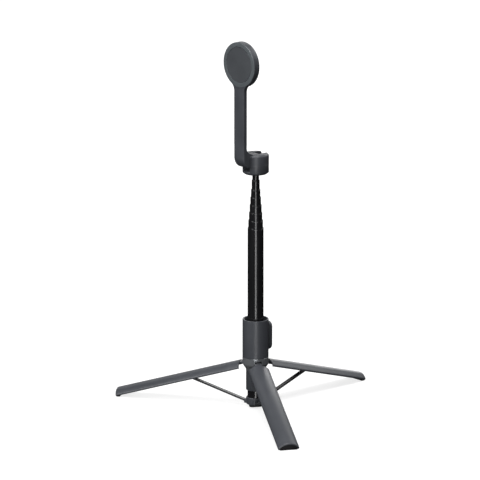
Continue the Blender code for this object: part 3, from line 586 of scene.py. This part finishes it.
# half round over straight sides, in x and y from the pivot line
def archPoints(crown, halfWidth, corner, lower, pivotRadius):
    turn = math.degrees(math.asin((halfWidth - corner) / (crown - corner)))
    out = crown - corner
    center = (out * math.cos(math.radians(turn)), out * math.sin(math.radians(turn)))
    points = [(lower, -halfWidth)]
    points += arcPoints((center[0], -center[1]), corner, -90, -turn, 6)
    points += arcPoints((0, 0), crown, -turn, turn, 36)[1:-1]
    points += arcPoints(center, corner, turn, 90, 6)
    points += [(lower, halfWidth)]
    return [(x - pivotRadius, y) for x, y in points]


def makeLegs():
    pivot = Vector(joints["leg_1_fold"]["pos_m"])
    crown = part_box("grip_shell")[1].x
    wall, lower, half = legShape["wall"], legShape["lowerEdge"], legShape["halfWidth"]
    tip, endRound = -legShape["length"], legShape["endRound"]
    section = archPoints(crown, half, legShape["sideRound"], lower, pivot.y)
    shell = outlined("legShell", section, tip + endRound, -legShape["root"])
    low = lower - pivot.y
    roundedEnd(shell, tip + endRound, -1, endRound, (low, 0), (crown - lower, half), 6)
    channel = archPoints(crown - wall, half - wall, 0.8 * mm, lower - wall, pivot.y)
    boolean(shell, outlined("channelTool", channel, 2 * tip, -tip))
    bevelled(shell, legShape["soft"], 3, 50)

    # tongue: an eye on the pivot pin, a waist, and a root inside the shell
    half, eye = legShape["tongueHalf"], legShape["eye"]
    root, reach = legShape["root"], legShape["root"] + legShape["tongueOverlap"]
    top = math.sqrt(crown ** 2 - half ** 2) - pivot.y - 0.2 * mm
    waist = legShape["waist"]
    outline = [(top, -reach), (top, -root), (waist, 0.7 * mm - root), (waist, -eye)]
    outline += arcPoints((0, 0), eye, -50, 180, 18)
    outline += [(-eye, -root / 2), (1.2 * mm - eye, -reach)]
    tongue = outlined("tongueTool", outline, -half, half)
    bevelled(tongue, 0.25 * mm, 2, 50)
    settle(tongue, upright)
    boolean(shell, tongue, "UNION")
    drill(shell, (0, 0, 0), legShape["eyeBore"], 4 * half, "Y", 28)

    pin = middleOf("strut_pin_1")
    along = (legPlace(0).inverted() @ pin)
    for side in (-1, 1):
        near, far = side * legShape["lugInner"], side * (legShape["lugInner"] + legShape["lugWall"])
        lug = boxPiece("lugTool", (along.x - legShape["lugDrop"], min(near, far), along.z - legShape["lugHalf"]),
                       (crown - pivot.y - wall / 2, max(near, far), along.z + legShape["lugHalf"]))
        bevelled(lug, 0.35 * mm, 2)
        boolean(shell, lug, "UNION")
    drill(shell, (along.x, 0, along.z), legShape["lugBore"], 4 * half, "Y", 28)
    cleanUp(shell)
    smooth(shell, 32)

    pad = makeLegPad(pivot, crown)
    for index in range(3):
        number = index + 1
        leg = copyOf(shell, "legShell%d" % number, legPlace(index))
        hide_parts("leg_shell_%d" % number)
        dress(leg, "slatePlastic", "leg_%d" % number)
        foot = copyOf(pad, "legPad%d" % number, turnedBy("Z", 120 * index))
        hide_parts("leg_pad_%d" % number)
        dress(foot, "softRubber", "leg_%d" % number)
    bpy.data.objects.remove(shell, do_unlink=True)
    bpy.data.objects.remove(pad, do_unlink=True)
    print("legs made")


# the pad fills the leg's end, and its tread runs up to the leg's edge behind
def makeLegPad(pivot, crown):
    inset = legShape["wall"] + padShape["gap"]
    start = padShape["sunk"] - legShape["length"]
    lower = legShape["lowerEdge"]
    points = archPoints(crown - inset, legShape["halfWidth"] - inset, 0.8 * mm, lower, pivot.y)
    tread, turn = lower - padShape["drop"] - pivot.y, padShape["treadRound"]
    side = padShape["treadHalf"] - turn
    points += arcPoints((tread + turn, side), turn, 130, 180, 4)
    points += [(x, -y) for x, y in arcPoints((tread + turn, side), turn, 180, 130, 4)]
    pad = outlined("legPad", points, start, start + padShape["length"])
    low = lower - pivot.y
    heel = [(low, start + padShape["length"]), (tread - mm, start + padShape["heel"]),
            (tread - mm, 0), (low, 0)]
    wedge = outlined("heelTool", heel, -legShape["halfWidth"], legShape["halfWidth"])
    settle(wedge, upright)
    boolean(pad, wedge)
    settle(pad, legPlace(0))
    floor = cadBox[0][2]
    reach = legShape["length"] * 2
    below = boxPiece("floorTool", (-reach, 0, floor - 20 * mm), (reach, reach, floor))
    boolean(pad, below)
    cleanUp(pad)
    bevelled(pad, padShape["soft"], 2, 60)
    smooth(pad, 30)
    return pad


# Struts

strutShape = {"width": 5.2 * mm, "thickness": 2.4 * mm, "eye": 1.6 * mm, "footEye": 1.5 * mm,
              "bore": 1.1 * mm, "grooveEdge": 1.25 * mm, "groove": 0.35 * mm, "soft": 0.22 * mm}


def makeStruts():
    top, foot = middleOf("strut_pin_1"), middleOf("strut_foot_pin_1")
    line = top - foot
    length = line.length
    half = strutShape["thickness"] / 2
    eye, footEye = strutShape["eye"], strutShape["footEye"]
    eyeTurn, footTurn = math.degrees(math.asin(half / eye)), math.degrees(math.asin(half / footEye))
    outline = arcPoints((0, 0), eye, -90 + eyeTurn, 270 - eyeTurn, 22)
    outline += arcPoints((0, -length), footEye, 90 + footTurn, 450 - footTurn, 22)
    width = strutShape["width"] / 2
    strut = outlined("strut", outline, -width, width)
    settle(strut, upright)
    pickFaces(strut, lambda center, normal: abs(normal.x) > 0.99 and abs(center.z + length / 2) < length / 4)
    bpy.ops.mesh.inset(thickness=strutShape["grooveEdge"], use_individual=True)
    bpy.ops.mesh.extrude_region_shrink_fatten(TRANSFORM_OT_shrink_fatten={"value": -strutShape["groove"]})
    objectMode()
    cleanUp(strut)
    for height in (0, -length):
        drill(strut, (0, 0, height), strutShape["bore"], 4 * width, "Y", 28)
    bevelled(strut, strutShape["soft"], 2, 50)
    smooth(strut, 32)
    lean = math.degrees(math.atan2(line.y, line.z))
    place = turnedBy("Z", 90) @ Matrix.Translation((top.y, 0, top.z)) @ turnedBy("Y", lean)
    settle(strut, place)
    for number in (1, 2, 3):
        piece = copyOf(strut, "strutBar%d" % number, turnedBy("Z", 120 * (number - 1)))
        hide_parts("strut_%d" % number)
        # the struts wear the lighter slate that carries the painted highlight
        dress(piece, "strutSheenPlastic", "strut_%d" % number)
    bpy.data.objects.remove(strut, do_unlink=True)
    print("struts made")


# Head: a cup with a slot, and two ears over the tilt pin

headShape = {"split": 12.7 * mm, "chamferWide": 2.8 * mm, "chamferHigh": 2.0 * mm, "chamferSoft": 0.5 * mm,
             "rim": 3.2 * mm, "slotHalf": 5.8 * mm, "slotDepth": 20.9 * mm, "skin": 1.0 * mm,
             "bore": 4.8 * mm, "seam": 0.16 * mm, "soft": 0.3 * mm, "pinBore": 2.3 * mm, "pinHalf": 12.3 * mm}


def makeHead():
    low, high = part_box("head_cup")
    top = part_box("head_ear_left")[1].z
    radius = high.x
    split = top - headShape["split"]
    seam = headShape["seam"]
    wide, tall = headShape["chamferWide"], headShape["chamferHigh"]
    soft = headShape["chamferSoft"]
    slotFloor = top - headShape["slotDepth"]
    profile = [(headShape["bore"], slotFloor - headShape["skin"]), (headShape["bore"], low.z),
               (radius - wide - soft, low.z), (radius - wide + 0.7 * soft, low.z + 0.4 * soft),
               (radius - 0.8 * soft, low.z + tall - 0.5 * soft), (radius, low.z + tall + soft),
               (radius, split - seam), (radius - seam, split)]
    cup = solidTurned("headCup", profile, 128)
    half = headShape["slotHalf"]
    slot = boxPiece("slotTool", (-half, -2 * radius, slotFloor), (half, 2 * radius, top + mm))
    boolean(cup, slot)
    bevelled(cup, headShape["soft"], 2, 60)
    smooth(cup, 32)
    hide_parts("head_cup")
    dress(cup, "slatePlastic", "head")

    rim = headShape["rim"]
    profile = [(radius - seam, split), (radius, split + seam), (radius, top - rim)]
    profile += [(radius - rim + x, top - rim + z) for x, z in arcPoints((0, 0), rim, 0, 90, 10)[1:]]
    ear = solidTurned("headEarLeft", profile, 128)
    other = boxPiece("halfTool", (-half, -2 * radius, split - mm), (2 * radius, 2 * radius, top + mm))
    boolean(ear, other)
    drill(ear, joints["tilt"]["pos_m"], headShape["pinBore"], 2 * headShape["pinHalf"], sides=40)
    bevelled(ear, 0.5 * mm, 3, 60)
    smooth(ear, 32)
    right = copyOf(ear, "headEarRight", turnedBy("Z", 180))
    for piece, node in ((ear, "head_ear_left"), (right, "head_ear_right")):
        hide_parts(node)
        dress(piece, "slatePlastic", "head")
    print("head made")


# Arm: knuckle, bent strap and the magnet housing

armShape = {"width": 17.9 * mm, "thickness": 5.6 * mm, "sunk": 0.3 * mm, "bend": 14.5 * mm,
            "underside": 8.3 * mm, "knuckle": 7.6 * mm, "knuckleHalf": 5.5 * mm, "washerSeat": 4.6 * mm,
            "washerRoom": 6.6 * mm, "shoulder": 18.3 * mm, "shoulderSoft": 1.2 * mm,
            "cornerRound": 7.0 * mm, "corner": 18.5 * mm, "flatStart": 22.5 * mm, "flare": 11.0 * mm,
            "soft": 0.7 * mm}
discShape = {"radius": 28.0 * mm, "thickness": 9.2 * mm, "rearRound": 0.8 * mm, "frontRound": 1.1 * mm,
             "cover": 22.0 * mm, "coverSunk": 0.12 * mm, "coverThick": 0.9 * mm, "coverSoft": 0.2 * mm,
             "seat": 1.2 * mm, "pocket": 24.9 * mm, "pocketFloor": 2.3 * mm, "pad": 26.5 * mm,
             "padDepth": 2.3 * mm}


def makeArm():
    tilt = Vector(joints["tilt"]["pos_m"])
    low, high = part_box("arm")
    back = low.y + armShape["sunk"]
    front = low.y + armShape["thickness"]
    disc = middleOf("rear_cover")
    width = armShape["width"] / 2
    rise = disc.z - tilt.z

    bend = armShape["bend"]
    knuckle = armShape["knuckle"]
    corner = armShape["cornerRound"]
    hook = arcPoints((0, 0), knuckle, -98, 90, 32)
    hook += [(-9.0 * mm, knuckle + 0.2 * mm)]
    hook += arcPoints((front + corner, armShape["corner"]), corner, 243, 180, 12)
    hook += [(front, armShape["flatStart"] + corner), (back, armShape["flatStart"] + corner)]
    hook += arcPoints((back + bend, bend - armShape["underside"]), bend, 180, 270, 20)
    arm = outlined("magnetArm", hook, -width, width)
    bevelled(arm, armShape["soft"], 3, 50)
    intoYz = Matrix(((0, 0, 1, 0), (1, 0, 0, 0), (0, 1, 0, 0), (0, 0, 0, 1)))
    settle(arm, Matrix.Translation((0, 0, tilt.z)) @ intoYz)

    # the knuckle stands between the washers, narrower than the strap
    soft = armShape["shoulderSoft"]
    inner = armShape["knuckleHalf"]
    for side in (-1, 1):
        outline = [(side * (width + mm), -armShape["shoulder"] - 0.4 * mm),
                   (side * (width - mm), -armShape["shoulder"]), (side * inner, soft - armShape["shoulder"]),
                   (side * inner, 30 * mm), (side * (width + mm), 30 * mm)]
        tool = outlined("shoulderTool", outline, -40 * mm, armShape["flatStart"])
        settle(tool, Matrix.Translation((0, 0, tilt.z)))
        boolean(arm, tool)
    drill(arm, tilt, headShape["pinBore"], 2 * headShape["pinHalf"], sides=40)
    depth = inner - armShape["washerSeat"]
    for side in (-1, 1):
        seat = tilt + Vector((side * (armShape["washerSeat"] + depth), 0, 0))
        drill(arm, seat, armShape["washerRoom"], 2 * depth, sides=64)

    # flat strap with a flare on each side under the disc
    flare = armShape["flare"]
    radius = discShape["radius"]
    spread = width + flare
    lift = math.sqrt((radius + flare) ** 2 - spread ** 2)
    touch = math.degrees(math.atan2(lift, spread))
    side = [(width, armShape["flatStart"])] + arcPoints((spread, rise - lift), flare, 180, 180 - touch, 16)
    outline = side + [(0, rise - radius / 2)] + [(-x, z) for x, z in side[::-1]]
    strap = outlined("strapTool", outline, -front, -back)
    bevelled(strap, armShape["soft"], 3, 50)
    settle(strap, Matrix.Translation((0, 0, tilt.z)) @ turnedBy("X", 90))
    boolean(arm, strap, "UNION")

    # housing, turned about the disc's own middle
    thick, rear, nose = discShape["thickness"], discShape["rearRound"], discShape["frontRound"]
    cover, seat = discShape["cover"] + 0.3 * mm, discShape["seat"]
    profile = [(cover, seat), (cover, 0.25 * mm), (cover + 0.25 * mm, 0), (radius - rear, 0)]
    profile += [(radius - rear + x, rear + z) for x, z in arcPoints((0, 0), rear, -90, 0, 7)[1:]]
    profile += [(radius - nose + x, thick - nose + z) for x, z in arcPoints((0, 0), nose, 0, 90, 5)]
    profile += [(discShape["pad"], thick), (discShape["pad"], thick - discShape["padDepth"]),
                (discShape["pocket"], thick - discShape["padDepth"]),
                (discShape["pocket"], discShape["pocketFloor"])]
    housing = solidTurned("housingTool", profile, 144)
    settle(housing, Matrix.Translation((0, low.y, disc.z)) @ turnedBy("X", -90))
    boolean(arm, housing, "UNION")
    cleanUp(arm)
    smooth(arm, 30)
    dress(arm, "slatePlastic", "arm")
    # the rear ring faces take the lighter plastic that carries the painted reflection
    arm.data.materials.append(finishes["rimSheenPlastic"])
    pickFaces(arm, lambda center, normal: normal.y < -0.35 and center.y < low.y + rear
              and discShape["cover"] < math.hypot(center.x, center.z - disc.z) < radius)
    arm.active_material_index = 1
    bpy.ops.object.material_slot_assign()
    objectMode()
    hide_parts("arm")

    cover = discShape["cover"]
    sunk = discShape["coverSunk"]
    soft = discShape["coverSoft"]
    profile = [(cover, discShape["coverThick"]), (cover, sunk + soft), (cover - soft, sunk)]
    plate = solidTurned("rearCover", profile, 144)
    settle(plate, Matrix.Translation((0, low.y, disc.z)) @ turnedBy("X", -90))
    smooth(plate, 30)
    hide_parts("rear_cover")
    dress(plate, "coverPlastic", "arm")
    makeFrontPad(disc)
    print("arm made")


def makeFrontPad(disc):
    low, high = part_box("front_pad")
    radius, thick = high.x, high.y - low.y
    groove = 0.35 * mm
    profile = [(radius, 0), (radius, thick - 0.5 * mm), (radius - 0.15 * mm, thick - 0.15 * mm),
               (radius - 0.5 * mm, thick)]
    for ring in (24.4 * mm, 17.6 * mm):
        profile += [(ring, thick), (ring - 0.2 * mm, thick - groove), (ring - 0.6 * mm, thick - groove),
                    (ring - 0.8 * mm, thick)]
    pad = solidTurned("frontPad", profile, 144)
    settle(pad, Matrix.Translation((0, low.y, disc.z)) @ turnedBy("X", -90))
    smooth(pad, 30)
    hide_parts("front_pad")
    dress(pad, "softRubber", "arm")


# Remote

remoteShape = {"corner": 6.5 * mm, "faceRound": 2.4 * mm, "seam": 0.12 * mm, "backWall": 1.1 * mm,
               "backRadius": 17.65 * mm, "button": 4.6 * mm, "buttonHeight": 26.0 * mm, "gap": 0.3 * mm,
               "dish": 0.35 * mm}


def roundedRect(x0, x1, y0, y1, radius, steps=10):
    points = []
    for x, y, start in ((x1 - radius, y0 + radius, -90), (x1 - radius, y1 - radius, 0),
                        (x0 + radius, y1 - radius, 90), (x0 + radius, y0 + radius, 180)):
        points += arcPoints((x, y), radius, start, start + 90, steps)
    return points


def makeRemote():
    low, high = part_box("remote_front")
    rearLow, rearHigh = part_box("remote_back")
    half = high.x
    tall = high.z - low.z
    center = (low.z + high.z) / 2
    outline = roundedRect(-half, half, -tall / 2, tall / 2, remoteShape["corner"])
    faceRound, seam = remoteShape["faceRound"], remoteShape["seam"]
    intoXz = Matrix(((1, 0, 0, 0), (0, 0, 1, 0), (0, -1, 0, center), (0, 0, 0, 1)))

    front = outlined("remoteFront", outline, low.y, high.y - faceRound)
    roundedEnd(front, high.y - faceRound, 1, faceRound, (0, 0), (half, tall / 2), 7)
    settle(front, intoXz)
    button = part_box("shutter_button")
    buttonZ = (button[0].z + button[1].z) / 2
    radius = button[1].x
    drill(front, (0, high.y, buttonZ), radius + remoteShape["gap"], 20 * mm, "Y", 72)
    bevelled(front, 0.15 * mm, 2, 50)
    smooth(front, 32)
    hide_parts("remote_front")
    dress(front, "slatePlastic", "remote")

    rear = outlined("remoteBack", outline, rearLow.y, rearHigh.y)
    settle(rear, intoXz)
    bpy.ops.object.select_all(action="DESELECT")
    bpy.ops.mesh.primitive_cylinder_add(vertices=128, radius=remoteShape["backRadius"], depth=4 * tall,
                                        location=(0, 0, center))
    cradle = bpy.context.active_object
    settle(cradle)
    boolean(rear, cradle)
    bevelled(rear, 0.2 * mm, 2, 40)
    smooth(rear, 32)
    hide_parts("remote_back")
    dress(rear, "slatePlastic", "remote")

    depth = button[1].y - button[0].y
    dish = remoteShape["dish"]
    profile = [(radius, 0), (radius, depth - 0.5 * mm), (radius - 0.15 * mm, depth - 0.15 * mm),
               (radius - 0.5 * mm, depth), (radius - 0.9 * mm, depth - 0.08 * mm)]
    profile += [(radius * share, depth - dish * (1 - share * share)) for share in (0.7, 0.55, 0.4, 0.25, 0.1)]
    cap = solidTurned("shutterButton", profile, 72)
    settle(cap, Matrix.Translation((0, button[0].y, buttonZ)) @ turnedBy("X", -90))
    smooth(cap, 30)
    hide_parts("shutter_button")
    dress(cap, "buttonPlastic", "button")
    print("remote made")


makeFinishes()
makeTubes()
makeGrip()
makeSleeve()
makeHub()
makeSpider()
makeFootPad()
makeLegs()
makeStruts()
makeHead()
makeArm()
makeRemote()

pinKinds = ("leg_pin", "strut_pin", "strut_foot_pin")
hingePins = ["%s_%d" % (kind, number) for number in (1, 2, 3) for kind in pinKinds]
carried = {"softRubber": ["tube_plug", "guide_bush", "remote_cradle"],
           "boardGreen": ["remote_board"],
           "magnetNickel": ["magnet_ring"],
           "pinSteel": ["pan_spindle", "tilt_pin", "friction_washer_left", "friction_washer_right",
                        "shield_plate", "coin_cell"] + hingePins}


def dressNodes():
    for finish, names in carried.items():
        for name in names:
            piece = nodes[name]
            for slot in piece.material_slots:
                slot.material = finishes[finish]
            if not piece.material_slots:
                piece.data.materials.append(finishes[finish])
    print("carried nodes dressed")


dressNodes()

# Studio: floor, light and camera

cameraPlace = {"azimuth": 47.396, "elevation": 14.482, "distance": 4.3348, "lens": 262.07,
               "across": -0.01942, "height": 0.21488}


def makeFloor():
    bpy.ops.object.select_all(action="DESELECT")
    bpy.ops.mesh.primitive_plane_add(size=40, location=(0, 0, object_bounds()[0][2]))
    floor = bpy.context.active_object
    floor.name = "studioFloor"
    material, tree, shader = newFinish("floorWhite", (0.34, 0.34, 0.34), 0.9, 0.0, 0.0)
    shader.inputs["Emission Color"].default_value = (1, 1, 1, 1)
    coords = tree.nodes.new("ShaderNodeTexCoord")
    away = tree.nodes.new("ShaderNodeVectorMath")
    away.operation = "LENGTH"
    tree.links.new(coords.outputs["Object"], away.inputs[0])
    # the floor's glow is painted light: dimmer near the stand, full white far off where the lamps fall away
    glow = ranged(tree, away.outputs["Value"], studioShape["glowNear"], studioShape["glowFar"], 0.2, 1.4)
    tree.links.new(glow, shader.inputs["Emission Strength"])
    floor.data.materials.append(material)
    floor.visible_glossy = False
    floor.visible_diffuse = False
    floor.visible_shadow = False


studioShape = {"glowNear": 0.80, "glowFar": 1.0, "skyAbove": 0.22, "skyBelow": 0.04, "aim": 0.2}

# azimuth is measured as the camera's, in degrees like the elevation; sizes in metres, power in watts
softboxes = {
    "frontStrip": {"azimuth": 50, "elevation": -6, "distance": 1.8, "wide": 0.4, "high": 2.0, "power": 10},
    "leftBox": {"azimuth": -8, "elevation": 25, "distance": 2.5, "wide": 1.4, "high": 1.6, "power": 40},
    "topBox": {"azimuth": 47, "elevation": 72, "distance": 2.2, "wide": 1.2, "high": 1.2, "power": 46},
    "backBox": {"azimuth": 227, "elevation": 30, "distance": 2.4, "wide": 3.2, "high": 1.8, "power": 11},
    "backStrip": {"azimuth": 215, "elevation": 5, "distance": 2.2, "wide": 0.6, "high": 1.6, "power": 7},
    "backFill": {"azimuth": 168, "elevation": 35, "distance": 2.4, "wide": 1.4, "high": 1.4, "power": 14},
}


# the way from the stand to a lamp or camera at this azimuth and elevation
def towards(place):
    azimuth, elevation = math.radians(place["azimuth"]), math.radians(place["elevation"])
    level = math.cos(elevation)
    return Vector((math.sin(azimuth) * level, -math.cos(azimuth) * level, math.sin(elevation)))


# a softbox that looks at the middle of the stand
def makeLight(name, box):
    away = towards(box)
    light = bpy.data.lights.new(name, "AREA")
    light.shape = "RECTANGLE"
    light.size = box["wide"]
    light.size_y = box["high"]
    light.energy = box["power"]
    lamp = bpy.data.objects.new(name, light)
    bpy.context.scene.collection.objects.link(lamp)
    lamp.location = Vector((0, 0, studioShape["aim"])) + away * box["distance"]
    lamp.rotation_euler = away.to_track_quat("Z", "Y").to_euler()
    lamp.visible_camera = False


# white behind, a softer light above and little from below
def makeStudio():
    world = bpy.data.worlds.new("studioWorld")
    bpy.context.scene.world = world
    world.use_nodes = True
    tree = world.node_tree
    background = tree.nodes["Background"]
    coords = tree.nodes.new("ShaderNodeTexCoord")
    parts = tree.nodes.new("ShaderNodeSeparateXYZ")
    tree.links.new(coords.outputs["Generated"], parts.inputs["Vector"])
    sky = ranged(tree, parts.outputs["Z"], studioShape["skyBelow"], studioShape["skyAbove"], -0.1, 0.25)
    path = tree.nodes.new("ShaderNodeLightPath")
    seen = tree.nodes.new("ShaderNodeMath")
    seen.operation = "MAXIMUM"
    tree.links.new(sky, seen.inputs[0])
    tree.links.new(path.outputs["Is Camera Ray"], seen.inputs[1])
    tree.links.new(seen.outputs["Value"], background.inputs["Strength"])
    for name, box in softboxes.items():
        makeLight(name, box)
    print("studio lit by", len(softboxes), "softboxes")


def makeCamera():
    azimuth = math.radians(cameraPlace["azimuth"])
    right = Vector((math.cos(azimuth), math.sin(azimuth), 0))
    back = towards(cameraPlace)
    data = bpy.data.cameras.new("studioCamera")
    data.lens = cameraPlace["lens"]
    data.sensor_width = 36
    data.clip_end = 100
    camera = bpy.data.objects.new("studioCamera", data)
    bpy.context.scene.collection.objects.link(camera)
    target = right * cameraPlace["across"] + Vector((0, 0, cameraPlace["height"]))
    camera.location = target + back * cameraPlace["distance"]
    camera.rotation_mode = "QUATERNION"
    camera.rotation_quaternion = back.to_track_quat("Z", "Y")
    bpy.context.scene.camera = camera


makeFloor()
makeStudio()
makeCamera()
